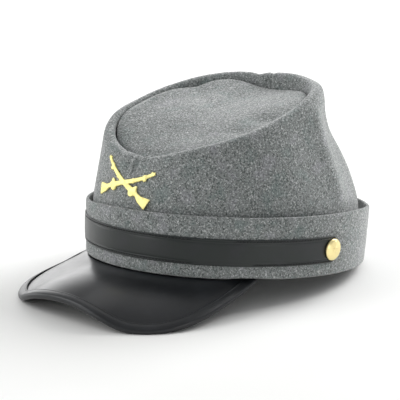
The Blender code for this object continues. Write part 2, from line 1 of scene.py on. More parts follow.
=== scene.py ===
"""Dresses the solids of a soft wool kepi in felt, leather, brass and thread.

Lengths are metres. The cap's own axes are those of its solids: the front is -Y, the wearer's left is
+X, up is +Z, and z = 0 is the foot of the band. Angles run round the head from the front (0) over the
wearer's left (90 degrees) to the back (180). CAP_POSE turns those axes into the frame, where the cap
leans on the corners of its visor and on the back of its band.
"""

import math
from collections import namedtuple

import bmesh
import bpy
from mathutils import Matrix, Vector, noise
from mathutils.bvhtree import BVHTree
from mathutils.kdtree import KDTree


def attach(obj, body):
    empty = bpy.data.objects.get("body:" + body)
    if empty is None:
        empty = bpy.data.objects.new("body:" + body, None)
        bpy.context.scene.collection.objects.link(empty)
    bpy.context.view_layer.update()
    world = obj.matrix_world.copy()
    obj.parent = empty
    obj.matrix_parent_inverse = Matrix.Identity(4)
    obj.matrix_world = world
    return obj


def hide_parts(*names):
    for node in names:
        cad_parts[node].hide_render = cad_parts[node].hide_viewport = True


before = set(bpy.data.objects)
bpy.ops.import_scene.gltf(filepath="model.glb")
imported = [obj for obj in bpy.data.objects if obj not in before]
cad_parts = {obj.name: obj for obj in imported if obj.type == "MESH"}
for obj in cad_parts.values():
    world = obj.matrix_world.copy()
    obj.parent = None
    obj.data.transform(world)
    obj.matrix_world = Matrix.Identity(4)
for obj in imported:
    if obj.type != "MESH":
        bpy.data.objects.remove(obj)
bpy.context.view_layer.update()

bl_info = {
    "name": "Kepi looks",
    "version": (1, 0, 0),
    "blender": (4, 5, 0),
    "location": "View3D > Sidebar > Kepi",
    "description": "Builds the felt, leather, brass and stitching of a wool kepi round its solids",
    "category": "Object",
}

MM = 0.001

# How the cap leans at rest
REST_PITCH = math.radians(-7.144)
REST_ROLL = math.radians(-1.415)
REST_PLACE = Vector((0.00047, 0.02537, 0.01243))
CAP_POSE = (
    Matrix.Translation(REST_PLACE)
    @ Matrix.Rotation(REST_ROLL, 4, "Y")
    @ Matrix.Rotation(REST_PITCH, 4, "X")
)

# The band, as in the solids
HEAD_WIDTH = 0.1876
HEAD_LENGTH = 0.2080
BAND_HEIGHT = 0.0424
BAND_WALL = 0.0030
BAND_FLARE = 0.0020
BAND_LIFT = 0.0010
CLEARANCE = 0.0003

# The chin strap and its buttons, as in the solids
STRAP_WIDTH = 0.0185
STRAP_FOOT = 0.0091
STRAP_WALL = 0.0010
STRAP_PRESS = 0.0008
STRAP_PAST_BUTTON = 0.0035
BUTTON_ANGLE = math.radians(93.2)
BUTTON_WIDTH = 0.0150
BUTTON_DOME = 0.0020
BUTTON_RIM = 0.0008

# The visor and its binding, as in the solids
VISOR_REACH = 0.0554
VISOR_WIDTH = 0.1614
VISOR_DROP = 0.0313
VISOR_ANGLE = math.radians(60.0)
VISOR_WALL = 0.0016
VISOR_BULGE = 0.050
VISOR_RIGHT_DROOP = 0.75
VISOR_SEWN_IN = 0.0095
VISOR_SKIVE = 0.50
VISOR_SKIVED_FROM = 0.80
BINDING_WALL = 0.0010
BINDING_LAP = 0.0075
BINDING_OUTSIDE_ROOT = 0.70
BINDING_ROOM = 1.20

# How finely the visor is drawn, and how square to its edge its cross-sections are at least
STATIONS_CLOSER_AT_ENDS = 0.40
VISOR_STATIONS = 160
VISOR_STEPS = 26
LEAST_SLANT = 0.5
Station = namedtuple("Station", "edge root ahead skive")

# Outline of the visor's edge, from its middle to where it goes under the band
VISOR_EDGE = (
    # width, reach, drop
    (0.000, 1.000, 0.550),
    (0.352, 1.000, 0.550),
    (0.617, 0.845, 1.152),
    (1.094, 0.252, 0.843),
    (0.976, -0.595, 0.430),
)

# Section of the strap near one edge: distance from the edge and how proud, in millimetres
STRAP_SECTION = (
    # across, proud
    (0.00, -0.50),
    (0.06, -0.22),
    (0.20, -0.07),
    (0.45, 0.00),
    (0.80, 0.03),
    (0.90, -0.12),
    (1.25, -0.65),
    (1.60, -0.12),
    (1.68, 0.04),
    (1.75, 0.06),
    (2.30, 0.07),
    (2.55, 0.02),
    (2.75, -0.10),
    (2.95, 0.02),
    (3.30, 0.09),
    (4.50, 0.12),
    (6.50, 0.14),
    (9.25, 0.15),
)

# Where the strap lies plain, without its edge lines: its section there, as across and proud in
# millimetres, and the angles from the front in degrees
PLAIN_SECTION = ((0.45, 0.00), (9.25, 0.15))
PLAIN_FROM = 32.6
PLAIN_TO_TOP = 50.8
PLAIN_TO_FOOT = 58.3
PLAIN_FADE = 1.2

# The strap's stitched groove, its rounded ends, and its bevel behind
STRAP_GROOVE = 1.25 * MM
STRAP_CORNER = 1.5 * MM
STRAP_BEVEL = 0.4 * MM
STRAP_STEPS = 220

# Section of the bound edge's top near its inner edge: distance from it and how proud, in millimetres
BINDING_SECTION = (
    # across, proud
    (0.00, -0.80),
    (0.12, -0.48),
    (0.35, -0.20),
    (0.70, -0.02),
    (1.15, 0.02),
    (1.28, -0.02),
    (1.45, -0.14),
    (1.62, -0.02),
    (2.05, 0.02),
)

# The binding's stitched groove, and how it swells round the visor's edge
BINDING_GROOVE = 1.45 * MM
BINDING_PUFF = 0.25 * MM
PUFF_BEGINS = 4.2 * MM
PUFF_IS_FULL = 3.0 * MM
EDGE_SWELL = 0.12

# The button's dome, ring, star and milled edge, as shares of its half-width where not lengths
DOME_REACH = 0.985
RING_AT = 0.80
RING_WIDTH = 0.035
RING_RISE = 0.16 * MM
STAR_TIPS = 0.62
STAR_NOTCHES = 0.25
STAR_WITHIN = 0.72
MILLED_FROM = 0.90
MILLED_RISE = 0.10 * MM
MILLED_TEETH = 44
BUTTON_SECTORS = 120
BUTTON_RINGS = 34

# Stitches: the crown's two seams, and how the threads lie
CROWN_SEAMS = (
    # name, degrees, foot, head
    ("front", 0.0, 0.0425, 0.0752),
    ("back", 180.0, 0.0425, 0.1210),
)
SEAM_ASIDE = 1.5 * MM
SEAM_RADIUS = 0.075
SEAM_STITCH = 2.6 * MM
SEAM_THREAD = 0.38 * MM
STRAP_THREAD = 0.56 * MM
BINDING_THREAD = 0.26 * MM
STITCH_SUNK = 0.20 * MM
STITCH_STARTS = 0.12
STITCH_ENDS = 0.88
THREAD_SIDES = 6
UNSEWN_BY_BUTTON = 9 * MM
UNSEWN_STATIONS = 8

# Section of one stitch: how far along it, how high in half-threads, and its share of the girth
STITCH_SECTION = (
    # along, rise, girth
    (0.00, -1.0, 0.55),
    (0.12, -0.1, 0.90),
    (0.35, 0.5, 1.00),
    (0.65, 0.5, 1.00),
    (0.88, -0.1, 0.90),
    (1.00, -1.0, 0.55),
)

# Creases and folds in the crown's side, each a line up the wool; a proud one is a ridge
FOLDS = (
    # degrees at its foot, degrees at its head, foot mm, head mm, half-width degrees, proud mm
    (105, 95, 44, 116, 5.0, 2.20),
    (90, 82, 48, 104, 6.0, -0.70),
    (121, 111, 46, 116, 9.0, -2.00),
    (150, 146, 52, 116, 8.0, 0.70),
    (189, 189, 98, 150, 1.5, -1.40),
    (192.5, 192, 104, 150, 1.2, -0.60),
    (197, 196, 98, 150, 4.0, 0.35),
    (209, 205, 90, 150, 4.0, -0.60),
    (0, 0, 40, 90, 1.0, -0.80),
    (-6, -2, 58, 86, 1.3, -1.30),
    (-1, 4, 60, 88, 1.3, -1.50),
    (4, 10, 62, 90, 1.4, -1.30),
    (-14, -12, 66, 90, 2.0, -0.70),
)
FOOT_FADE = 10.0
HEAD_FADE = 8.0

# Where the wool's mesh is finer: beside the front seam, and round the creases high at the back
FRONT_SEAM_SPREAD = 14.0
BACK_CREASES = (183.0, 197.0)
BACK_CREASES_FOOT = 0.095

# Soft waves all over the wool: their sizes, and the share of the small ones
BROAD_WAVE = 34 * MM
SMALL_WAVE = 9 * MM
SMALL_SHARE = 0.18

# Shallow dents in the crown's top, as places and half-sizes in the cap's axes
DENTS = (
    # x mm, y mm, half-size x mm, half-size y mm, proud mm
    (46, -16, 10, 7, -2.30),
    (42, -38, 10, 8, -2.00),
    (14, -52, 26, 10, -1.00),
    (20, -24, 16, 12, 0.80),
    (-26, -24, 14, 16, 0.50),
    (-14, 12, 18, 7, -0.60),
)

# The crown's top: its half-sizes, how squarely they round, the groove round its edge, the trough
# on its near side and the swell on its far side, each between two angles in degrees
TOP_HALF_WIDTH = 0.0618
TOP_HALF_LENGTH = 0.0625
TOP_FORWARD = 0.0202
TOP_FULLNESS = 2.35
ROLL_RISE = 0.0036
EDGE_GROOVE = 0.0014
EDGE_GROOVE_WIDTH = 0.028
NEAR_TROUGH = 0.0024
NEAR_TROUGH_WIDTH = 0.16
NEAR_SIDE = (-30.0, 130.0)
FAR_SWELL = 0.0021
FAR_SIDE = (-170.0, -30.0)
SIDE_FADE = 40.0
CREST_FACING = 0.93

# Soft lights round the cap: angles in degrees, distance and size in metres, power in watts
SOFTBOXES = (
    # name, azimuth, elevation, away, size, power
    ("left_softbox", 316.0, 40.0, 1.8, 1.2, 11.5),
    ("right_softbox", 172.0, 32.0, 1.4, 0.9, 19.0),
    ("back_panel", 237.0, 9.0, 2.6, 1.3, 11.6),
    ("high_panel", 215.0, 55.0, 2.6, 1.4, 4.5),
    ("low_front_softbox", 345.0, 7.0, 1.6, 0.8, 4.0),
    ("low_left_softbox", 288.0, 6.0, 1.5, 0.6, 3.2),
    ("low_side_softbox", 88.0, 4.0, 1.6, 0.7, 3.0),
)
LIGHTS_AIM = Vector((0.0, 0.0, 0.06))
AIR_STRENGTH = 0.46
FLOOR_RADIUS = 8.0
FLOOR_DROP = 0.05 * MM

# Where the camera looks, in the frame
CAMERA_TARGET = Vector((-0.01935, 0.02027, 0.04938))

# Points of a solid nearer than this are one, and a place farther out than all of the cap
WELD = 0.01 * MM
OUTSIDE = 0.2


def linear(colour):
    """A colour given as sRGB hex, as linear red, green, blue and alpha."""
    channels = [int(colour[step:step + 2], 16) / 255 for step in (1, 3, 5)]
    return tuple(
        value / 12.92 if value <= 0.04045 else ((value + 0.055) / 1.055) ** 2.4
        for value in channels
    ) + (1.0,)


def mix(start, end, share):
    """The value a share of the way from start to end."""
    return start + (end - start) * share


def smooth(share):
    """A share eased in and out, held between 0 and 1."""
    share = min(max(share, 0.0), 1.0)
    return share * share * (3.0 - 2.0 * share)


def sector(degrees, start, stop, fade):
    """How far an angle is inside a sector: 1 well inside it, eased to 0 over a fade at both ends."""
    return smooth((degrees - start) / fade) * smooth((stop - degrees) / fade)


def table_at(rows, place):
    """The second column of a table, read at a place along its first."""
    if place <= rows[0][0]:
        return rows[0][1]
    for (start, low), (end, high) in zip(rows, rows[1:]):
        if place <= end:
            return mix(low, high, (place - start) / (end - start))
    return rows[-1][1]


# Shapes

def oval(angle, half_width, half_length):
    """A point on an oval in the plane."""
    return Vector((half_width * math.sin(angle), -half_length * math.cos(angle), 0.0))


def band_point(angle, height, proud=0.0):
    """A point on the band's outer face in the cap's axes, or proud of it by a distance."""
    grown = BAND_FLARE * height / BAND_HEIGHT + proud
    point = oval(angle, HEAD_WIDTH / 2 + grown, HEAD_LENGTH / 2 + grown)
    point.z = height
    return point


def spline_point(controls, place):
    """A point on a smooth curve that starts and ends at its outer controls."""
    spans = len(controls) - 3
    knots = [0.0] * 3 + [step / spans for step in range(spans + 1)] + [1.0] * 3
    span = min(int(place * spans), spans - 1) + 3
    points = [controls[span - 3 + step].copy() for step in range(4)]
    for level in range(1, 4):
        for step in range(3, level - 1, -1):
            first = knots[span - 3 + step]
            width = knots[span + 1 + step - level] - first
            points[step] = points[step - 1].lerp(points[step], (place - first) / width)
    return points[3]


def binding_half(skive):
    """Half the thickness of the bound edge, with its leather skived to a share."""
    return (VISOR_WALL / 2 + BINDING_WALL) * skive + CLEARANCE


def visor_end_level():
    """The height of the visor's middle layer where its bound ends go under the lifted band."""
    return BAND_LIFT - CLEARANCE - BINDING_ROOM * binding_half(VISOR_SKIVE)


def visor_edge():
    """Points along the visor's edge, from the wearer's right to the left."""
    controls = [
        Vector((VISOR_WIDTH / 2 * width, -HEAD_LENGTH / 2 - VISOR_REACH * reach, -VISOR_DROP * drop))
        for width, reach, drop in VISOR_EDGE
    ]
    end = band_point(VISOR_ANGLE, 0.0, -BAND_WALL / 2)
    end.z = visor_end_level()
    controls.append(end)
    half = VISOR_STATIONS // 2
    left = []
    for step in range(half + 1):
        share = step / half
        left.append(spline_point(controls, share * (1.0 + STATIONS_CLOSER_AT_ENDS * (1.0 - share))))
    right = []
    for point in left[:0:-1]:
        droop = min(point.z - left[0].z, 0.0)
        right.append(Vector((-point.x, point.y, point.z - droop * (1.0 - VISOR_RIGHT_DROOP))))
    return right + left


def visor_stations():
    """Stations from the right to the left: edge, root under the band, way ahead, skived share."""
    edge = visor_edge()
    middle = len(edge) // 2
    run = [0.0]
    for start, end in zip(edge, edge[1:]):
        run.append(run[-1] + (end - start).length)
    last = VISOR_ANGLE - BINDING_OUTSIDE_ROOT * BINDING_LAP / (HEAD_LENGTH / 2)
    stations = []
    for index, point in enumerate(edge):
        away = run[index] - run[middle]
        whole = run[middle] if away < 0.0 else run[-1] - run[middle]
        near_end = smooth((abs(away) / whole - VISOR_SKIVED_FROM) / (1.0 - VISOR_SKIVED_FROM))
        root = band_point(last * away / whole, 0.0, -mix(BAND_WALL, VISOR_SEWN_IN, near_end))
        root.z = mix(-CLEARANCE - VISOR_WALL / 2, visor_end_level() + VISOR_WALL / 2, near_end)
        ahead = edge[min(index + 1, len(edge) - 1)] - edge[max(index - 1, 0)]
        stations.append(Station(point, root, ahead.normalized(), mix(1.0, VISOR_SKIVE, near_end)))
    return stations


def visor_frame(station):
    """The way in from the visor's edge, the way up, and how squarely the way in meets the edge."""
    inner = (station.root - station.edge).normalized()
    across = inner.cross(station.ahead)
    up = across.normalized()
    if up.z < 0.0:
        up.negate()
    return inner, up, max(across.length, LEAST_SLANT)


def visor_point(station, inward, raised):
    """A point a square distance in from the visor's edge and a distance above its middle."""
    inner, up, slant = visor_frame(station)
    chord = (station.root - station.edge).length
    along = inward / slant
    share = min(along / chord, 1.0)
    crown = VISOR_BULGE * max(chord - 2 * BINDING_LAP, 0.0)
    return station.edge + inner * along + up * (raised + crown * 4.0 * share * (1.0 - share))


def new_piece(name, mesh, material, slot, *replaced):
    """An object that rides on the cap, in its material, in place of the solids named."""
    piece = bpy.data.objects.new(name, mesh)
    bpy.context.scene.collection.objects.link(piece)
    mesh.materials.clear()
    mesh.materials.append(material)
    mesh.shade_smooth()
    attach(piece, "root")
    if replaced:
        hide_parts(*replaced)
    return piece


def on_floor(point):
    """A point of the frame, kept from sinking into the surface that the cap stands on."""
    return Vector((point.x, point.y, max(point.z, 0.0)))


def mesh_of(name, shape):
    """The mesh of a finished shape."""
    mesh = bpy.data.meshes.new(name)
    shape.to_mesh(mesh)
    shape.free()
    return mesh


def add_body(shape, rings):
    """Add a closed body through rings of points in the cap's axes, capped at both ends."""
    lines = [[shape.verts.new(on_floor(CAP_POSE @ point)) for point in ring] for ring in rings]
    for first, second in zip(lines, lines[1:]):
        for step, corner in enumerate(first):
            following = (step + 1) % len(first)
            shape.faces.new((corner, first[following], second[following], second[step]))
    shape.faces.new(list(reversed(lines[0])))
    shape.faces.new(lines[-1])


def loft(name, *bodies):
    """A mesh of closed bodies, each given as its rings of points in the cap's axes."""
    shape = bmesh.new()
    for rings in bodies:
        add_body(shape, rings)
    bmesh.ops.recalc_face_normals(shape, faces=shape.faces)
    return mesh_of(name, shape)


def finer_mesh(name, node, levels):
    """A copy of a solid with its faces joined to quads, rounded and divided."""
    shape = bmesh.new()
    shape.from_mesh(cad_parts[node].data)
    bmesh.ops.remove_doubles(shape, verts=shape.verts, dist=WELD)
    bmesh.ops.join_triangles(
        shape,
        faces=shape.faces,
        angle_face_threshold=math.radians(50.0),
        angle_shape_threshold=math.radians(60.0),
    )
    scratch = bpy.data.objects.new(name, mesh_of(name, shape))
    bpy.context.scene.collection.objects.link(scratch)
    rounded = scratch.modifiers.new("rounded", "SUBSURF")
    rounded.levels = levels
    rounded.render_levels = levels
    bpy.context.view_layer.update()
    evaluated = scratch.evaluated_get(bpy.context.evaluated_depsgraph_get())
    finer = bpy.data.meshes.new_from_object(evaluated)
    bpy.data.objects.remove(scratch)
    finer.name = name
    return finer


def refined(mesh, wanted):
    """Divide the faces whose middle, in the cap's axes, is wanted."""
    shape = bmesh.new()
    shape.from_mesh(mesh)
    back = CAP_POSE.inverted()
    edges = {edge for face in shape.faces if wanted(back @ face.calc_center_median())
             for edge in face.edges}
    bmesh.ops.subdivide_edges(shape, edges=list(edges), cuts=1, smooth=0.0, use_grid_fill=True)
    shape.to_mesh(mesh)
    shape.free()


def beside_seams(place):
    """Whether a place on the crown's side is beside the front seam's or the back's fine creases."""
    degrees = math.degrees(head_angle(place)) % 360.0
    if min(degrees, 360.0 - degrees) < FRONT_SEAM_SPREAD:
        return True
    return BACK_CREASES[0] < degrees < BACK_CREASES[1] and place.z > BACK_CREASES_FOOT


def surface_of(piece):
    """A piece's surface, to drop other pieces onto."""
    bpy.context.view_layer.update()
    return BVHTree.FromObject(piece, bpy.context.evaluated_depsgraph_get())


def on_side(surface, angle, height):
    """The point and outward direction of a surface round the head, in the cap's axes."""
    out = oval(angle, OUTSIDE, OUTSIDE)
    start = Vector((out.x, out.y, height))
    back = CAP_POSE.inverted()
    hit, facing = surface.ray_cast(CAP_POSE @ start, CAP_POSE.to_3x3() @ -out.normalized())[:2]
    if hit is None:
        raise RuntimeError("a point meant for the side of the cap misses it")
    facing = back.to_3x3() @ facing
    if facing.dot(out) < 0.0:
        facing.negate()
    return back @ hit, facing


# Materials

def put(tree, kind, settings=(), values=(), links=()):
    """Add a node with its settings, the values of its inputs, and links from other nodes' outputs."""
    node = tree.nodes.new(kind)
    for name, value in dict(settings).items():
        setattr(node, name, value)
    for name, value in dict(values).items():
        node.inputs[name].default_value = value
    for name, source in dict(links).items():
        tree.links.new(source, node.inputs[name])
    return node


def new_material(name):
    """An empty material, its tree and its shader."""
    material = bpy.data.materials.new(name)
    material.use_nodes = True
    tree = material.node_tree
    tree.nodes.clear()
    shader = put(tree, "ShaderNodeBsdfPrincipled")
    put(tree, "ShaderNodeOutputMaterial", links={"Surface": shader.outputs["BSDF"]})
    return material, tree, shader


def contrast(tree, source, low, high, start=0.0, end=1.0):
    """A pattern's values between low and high, stretched to run from start to end."""
    return put(
        tree, "ShaderNodeMapRange",
        settings={"interpolation_type": "SMOOTHSTEP"},
        values={"From Min": low, "From Max": high, "To Min": start, "To Max": end},
        links={"Value": source},
    ).outputs["Result"]


def blend_colour(tree, first, second, share):
    """The mix of two colours; each is a hex value or a node's output."""
    values, links = {}, {}
    for place, colour in ((6, first), (7, second)):
        if isinstance(colour, str):
            values[place] = linear(colour)
        else:
            links[place] = colour
    if isinstance(share, float):
        values[0] = share
    else:
        links[0] = share
    return put(tree, "ShaderNodeMix", {"data_type": "RGBA"}, values, links).outputs[2]


def pattern(tree, size, detail=2.0, roughness=0.5, distortion=0.0, stretch=None):
    """Cloudy noise whose lumps are about a size across, fixed to the piece."""
    place = put(tree, "ShaderNodeTexCoord").outputs["Object"]
    if stretch:
        place = put(
            tree, "ShaderNodeMapping", values={"Scale": stretch}, links={"Vector": place}
        ).outputs["Vector"]
    return put(
        tree, "ShaderNodeTexNoise",
        values={"Scale": 1.0 / size, "Detail": detail, "Roughness": roughness,
                "Distortion": distortion},
        links={"Vector": place},
    ).outputs["Fac"]


def melange_felt(looks):
    """Fulled wool felt spun from black, grey and white fibres.

    Each fibre is far too fine to see, so the eye gets clumps about a millimetre across in dark and
    pale grey, a slight green and blue cast in patches, a matt nap and a soft pale edge.
    """
    material, tree, shader = new_material("melange wool felt, fulled")
    clumps = pattern(tree, looks.clump, 2.0, 0.6)
    grey = blend_colour(tree, looks.dark_hex, looks.mid_hex, contrast(tree, clumps, 0.34, 0.56))
    pale = pattern(tree, looks.clump * 0.8, 3.0, 0.6, 0.6)
    grey = blend_colour(tree, grey, looks.pale_hex, contrast(tree, pale, 0.50, 0.74, 0.0, 0.75))
    cast = pattern(tree, looks.blotch, 3.0, 0.6)
    teal = blend_colour(tree, grey, looks.teal_hex, contrast(tree, cast, 0.52, 0.70, 0.0, 0.34))
    grey = blend_colour(tree, teal, looks.mauve_hex, contrast(tree, cast, 0.46, 0.30, 0.0, 0.20))
    tree.links.new(grey, shader.inputs["Base Color"])
    shader.inputs["Roughness"].default_value = 0.95
    shader.inputs["Specular IOR Level"].default_value = 0.2
    tree.links.new(contrast(tree, pale, 0.36, 0.68, 0.25, 0.85), shader.inputs["Sheen Weight"])
    shader.inputs["Sheen Roughness"].default_value = 0.50
    nap = pattern(tree, looks.clump * 0.7, 4.0, 0.7)
    bump = put(
        tree, "ShaderNodeBump", values={"Strength": 0.45, "Distance": 0.5 * MM},
        links={"Height": nap},
    )
    tree.links.new(bump.outputs["Normal"], shader.inputs["Normal"])
    return material


def black_leather(name, looks, dark, roughness, coat):
    """Black dyed cowhide, drum dyed and rolled smooth, with its grain about 0.5 mm across.

    The rolled surface gives broad soft reflections; faint pores and a slightly uneven polish keep
    them from looking like plastic.
    """
    material, tree, shader = new_material(name)
    wear = pattern(tree, 14 * MM, 3.0, 0.6)
    tone = blend_colour(tree, dark, looks.worn_hex, contrast(tree, wear, 0.42, 0.78))
    tree.links.new(tone, shader.inputs["Base Color"])
    polish = contrast(tree, wear, 0.30, 0.70, roughness - 0.02, roughness + 0.03)
    tree.links.new(polish, shader.inputs["Roughness"])
    shader.inputs["IOR"].default_value = 1.46
    shader.inputs["Coat Weight"].default_value = coat
    shader.inputs["Coat Roughness"].default_value = 0.22
    place = put(tree, "ShaderNodeTexCoord").outputs["Object"]
    grain = put(
        tree, "ShaderNodeTexVoronoi",
        settings={"feature": "SMOOTH_F1"},
        values={"Scale": 1.0 / looks.grain, "Smoothness": 0.6},
        links={"Vector": place},
    )
    pores = pattern(tree, looks.grain * 0.6, 3.0, 0.6)
    height = put(
        tree, "ShaderNodeMath", settings={"operation": "MULTIPLY_ADD"}, values={1: 0.5},
        links={0: pores, 2: grain.outputs["Distance"]},
    )
    bump = put(
        tree, "ShaderNodeBump", values={"Strength": 0.16, "Distance": 0.06 * MM},
        links={"Height": height.outputs["Value"]},
    )
    tree.links.new(bump.outputs["Normal"], shader.inputs["Normal"])
    return material


def stamped_brass(name, bright, dull, roughness):
    """Brass sheet, die stamped and gilt, then handled.

    Its raised parts are polished pale gold, and a thin brown film in patches dulls them slightly.
    """
    material, tree, shader = new_material(name)
    film = pattern(tree, 2.5 * MM, 3.0, 0.6)
    tone = blend_colour(tree, bright, dull, contrast(tree, film, 0.54, 0.80, 0.0, 0.45))
    tree.links.new(tone, shader.inputs["Base Color"])
    tree.links.new(
        contrast(tree, film, 0.30, 0.75, roughness - 0.06, roughness + 0.10),
        shader.inputs["Roughness"],
    )
    shader.inputs["Metallic"].default_value = 1.0
    bump = put(
        tree, "ShaderNodeBump", values={"Strength": 0.10, "Distance": 0.05 * MM},
        links={"Height": pattern(tree, 0.8 * MM, 3.0)},
    )
    tree.links.new(bump.outputs["Normal"], shader.inputs["Normal"])
    return material


def sewing_thread(name, dark, pale):
    """Spun sewing thread, three strands twisted; the twist shows as fine dark and pale flecks."""
    material, tree, shader = new_material(name)
    twist = pattern(tree, 0.35 * MM, 1.0)
    tone = blend_colour(tree, dark, pale, contrast(tree, twist, 0.40, 0.62))
    tree.links.new(tone, shader.inputs["Base Color"])
    shader.inputs["Roughness"].default_value = 0.75
    shader.inputs["Sheen Weight"].default_value = 0.2
    return material


def painted_floor(looks):
    """A studio floor, rolled in matt white paint: pale, even, with hardly any gloss."""
    material, tree, shader = new_material("matt white floor paint, rolled")
    mottle = pattern(tree, 300 * MM, 2.0)
    tone = blend_colour(tree, looks.floor_hex, looks.mottle_hex, contrast(tree, mottle, 0.3, 0.7))
    tree.links.new(tone, shader.inputs["Base Color"])
    shader.inputs["Roughness"].default_value = 0.9
    shader.inputs["Specular IOR Level"].default_value = 0.1
    return material


# Settings

def hex_text(label, about, value):
    """A colour setting, written as sRGB hex."""
    return bpy.props.StringProperty(name=label, description=about, default=value, maxlen=7)


def length(label, about, value):
    """A length setting in metres."""
    return bpy.props.FloatProperty(
        name=label, description=about, default=value, min=0.0, precision=5,
        unit="LENGTH", subtype="DISTANCE",
    )


class KepiWool(bpy.types.PropertyGroup):
    """The looks of the wool."""

    dark_hex: hex_text("Dark fibres", "Colour of the dark clumps of wool", "#494e4c")
    mid_hex: hex_text("Grey fibres", "Colour of the middle grey wool", "#7b7f7e")
    pale_hex: hex_text("Pale fibres", "Colour of the pale clumps of wool", "#dfe1e0")
    teal_hex: hex_text("Cool cast", "Colour that tints the cooler patches of wool", "#5f7370")
    mauve_hex: hex_text("Warm cast", "Colour that tints the warmer patches of wool", "#a7a3ae")
    thread_hex: hex_text("Seam thread", "Colour of the grey thread in the crown's seams", "#3f4443")
    fleck_hex: hex_text("Seam thread flecks", "Pale colour of the twist in the grey thread", "#747978")
    clump: length("Clump", "Width of a clump of fibres of one colour", 1.3 * MM)
    blotch: length("Blotch", "Width of a patch of cooler or warmer grey", 14 * MM)
    sway: length("Sway", "Depth of the soft waves in the crown's wool", 0.5 * MM)
    fold: bpy.props.FloatProperty(
        name="Folds", description="How strong the folds and dents are", default=1.0, min=0.0,
    )


class KepiLeather(bpy.types.PropertyGroup):
    """The looks of the leather."""

    dark_hex: hex_text("Leather", "Colour of the dyed leather", "#17191c")
    strap_hex: hex_text("Strap leather", "Colour of the strap, dyed a greener black", "#171e1c")
    worn_hex: hex_text("Worn leather", "Colour of the leather where its dye has thinned", "#202226")
    grain: length("Grain", "Width of one pebble of the grain", 0.5 * MM)
    # The black thread's near-black colour is partly its own and partly painted shade: it is kept darker
    # than the leather so that the stitched grooves of the strap and the binding read as dark shadowed
    # lines.
    thread_hex: hex_text("Thread", "Colour of the waxed black thread", "#0c0d0e")
    fleck_hex: hex_text("Thread flecks", "Pale colour of the twist in the black thread", "#2a2c2e")
    stitch: length("Stitch", "Length of one stitch and its gap", 2.4 * MM)


class KepiBrass(bpy.types.PropertyGroup):
    """The looks of the brass."""

    button_hex: hex_text("Button", "Colour of the gilt buttons", "#fbe9ab")
    badge_hex: hex_text("Badge", "Colour of the gilt badge", "#fcf3ac")
    dull_hex: hex_text("Tarnish", "Colour of the dulled brass", "#c9b46c")
    motif: length("Motif", "Height of the star on the buttons", 0.35 * MM)


class KepiStage(bpy.types.PropertyGroup):
    """Floor, lights and camera."""

    floor_hex: hex_text("Floor", "Colour of the floor", "#fafaf9")
    mottle_hex: hex_text("Floor mottle", "Colour of the floor's faint darker patches", "#f4f4f2")
    air_hex: hex_text("Air", "Colour of the light from all round", "#f6f7f8")
    azimuth: bpy.props.FloatProperty(
        name="Azimuth", description="Camera angle round the cap", subtype="ANGLE",
        default=math.radians(45.339),
    )
    elevation: bpy.props.FloatProperty(
        name="Elevation", description="Camera angle above the floor", subtype="ANGLE",
        default=math.radians(15.123),
    )
    roll: bpy.props.FloatProperty(
        name="Roll", description="Turn of the camera about its own axis", subtype="ANGLE",
        default=math.radians(-1.0),
    )
    distance: length("Distance", "From the camera to the point it looks at", 1.8032)
    lens: bpy.props.FloatProperty(
        name="Lens", description="Focal length in millimetres on a 36 mm sensor", default=228.25,
        min=1.0,
    )


# Pieces

def softened(mesh, moved, outward):
    """Move both faces of the wool outward by what moved says for each place in the cap's axes."""
    back, turn = CAP_POSE.inverted(), CAP_POSE.to_3x3()
    for vertex in mesh.vertices:
        place = back @ vertex.co
        vertex.co = on_floor(vertex.co + turn @ outward(place) * moved(place))


def away_from_axis(place):
    """The level way out from the cap's axis."""
    return Vector((place.x, place.y, 0.0)).normalized()


def straight_up(_):
    """The cap's way up, which is the same at every place."""
    return Vector((0.0, 0.0, 1.0))


def away_from_roll(mesh):
    """A function that gives the way out from the core of the rolled rim, and level below it."""
    back = CAP_POSE.inverted()
    crest = [back @ vertex.co for vertex in mesh.vertices if vertex.normal.z > CREST_FACING]
    tree = KDTree(len(crest))
    for index, point in enumerate(crest):
        tree.insert((point.x, point.y, 0.0), index)
    tree.balance()

    def outward(place):
        """The way out at one place."""
        nearest = crest[tree.find((place.x, place.y, 0.0))[1]]
        out = place - nearest
        out.z = max(out.z + ROLL_RISE, 0.0)
        return out.normalized()

    return outward


def head_angle(point):
    """The angle of a point round the head, from the front, between -180 and 180 degrees."""
    return math.atan2(point.x * HEAD_LENGTH / HEAD_WIDTH, -point.y)


def wave(place, size, seed):
    """Soft noise between about -1 and 1, with waves of a size."""
    return noise.noise(place / size + Vector((seed, 0.0, 0.0)))


def wool_lift(looks, sway, relief):
    """A function that says how far outward the wool lies at a place in the cap's axes."""

    def moved(place):
        """Soft waves, and the piece's own folds or dents."""
        lift = sway * wave(place, BROAD_WAVE, 3.0)
        lift += SMALL_SHARE * sway * wave(place, SMALL_WAVE, 7.0)
        if relief:
            lift += looks.fold * relief(place)
        return lift

    return moved


class KEPI_OT_wool(bpy.types.Operator):
    """Build the crown's side, its top and the band in soft wool felt"""

    bl_idname = "kepi.wool"
    bl_label = "Wool crown and band"

    def execute(self, context):
        looks = context.scene.kepi_wool
        material = melange_felt(looks)
        parts = (("crown_side", 1.0, folds), ("crown_top", 1.0, dents), ("band", 0.5, None))
        for node, share, relief in parts:
            name = "felt_" + node
            mesh = finer_mesh(name, node, 2)
            outward = away_from_axis
            if node == "crown_side":
                refined(mesh, beside_seams)
                outward = away_from_roll(mesh)
            if node == "crown_top":
                outward = straight_up
            softened(mesh, wool_lift(looks, looks.sway * share, relief), outward)
            new_piece(name, mesh, material, "wool_felt", node)
        return {"FINISHED"}


